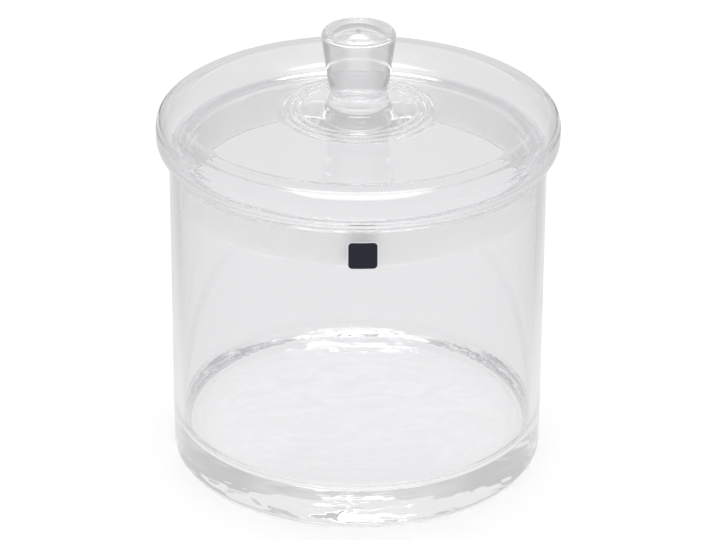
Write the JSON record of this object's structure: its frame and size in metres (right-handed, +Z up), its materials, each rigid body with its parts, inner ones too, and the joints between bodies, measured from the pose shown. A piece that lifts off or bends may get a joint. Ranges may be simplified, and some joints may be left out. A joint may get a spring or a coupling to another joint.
{
  "type": "lidded glass storage jar",
  "caption": "Clear glass canister with a thick base, a blown glass lid with a solid knob, a milky ring round the lid's neck and a small square sticker.",
  "frame": {"origin": "middle of the base, on the surface that the jar stands on", "axes": "+Z up along the jar's axis, -Y towards the front with the sticker, +X to the right seen from the front"},
  "size_m": [0.1494, 0.1494, 0.1704],
  "materials": {
    "clear_glass": "fire-polished, clear",
    "milky_plastic": "translucent, satin",
    "navy_film": "gloss film"
  },
  "bodies": {
    "jar": {"jar": "clear_glass", "front_label": "navy_film"},
    "lid": {"lid": "clear_glass", "seal_ring": "milky_plastic", "knob": "clear_glass"}
  },
  "joints": [
    {"name": "lid_lift", "type": "slide", "parent": "jar", "child": "lid", "axis": [0, 0, 1], "range_m": [0, 0.06]}
  ]
}
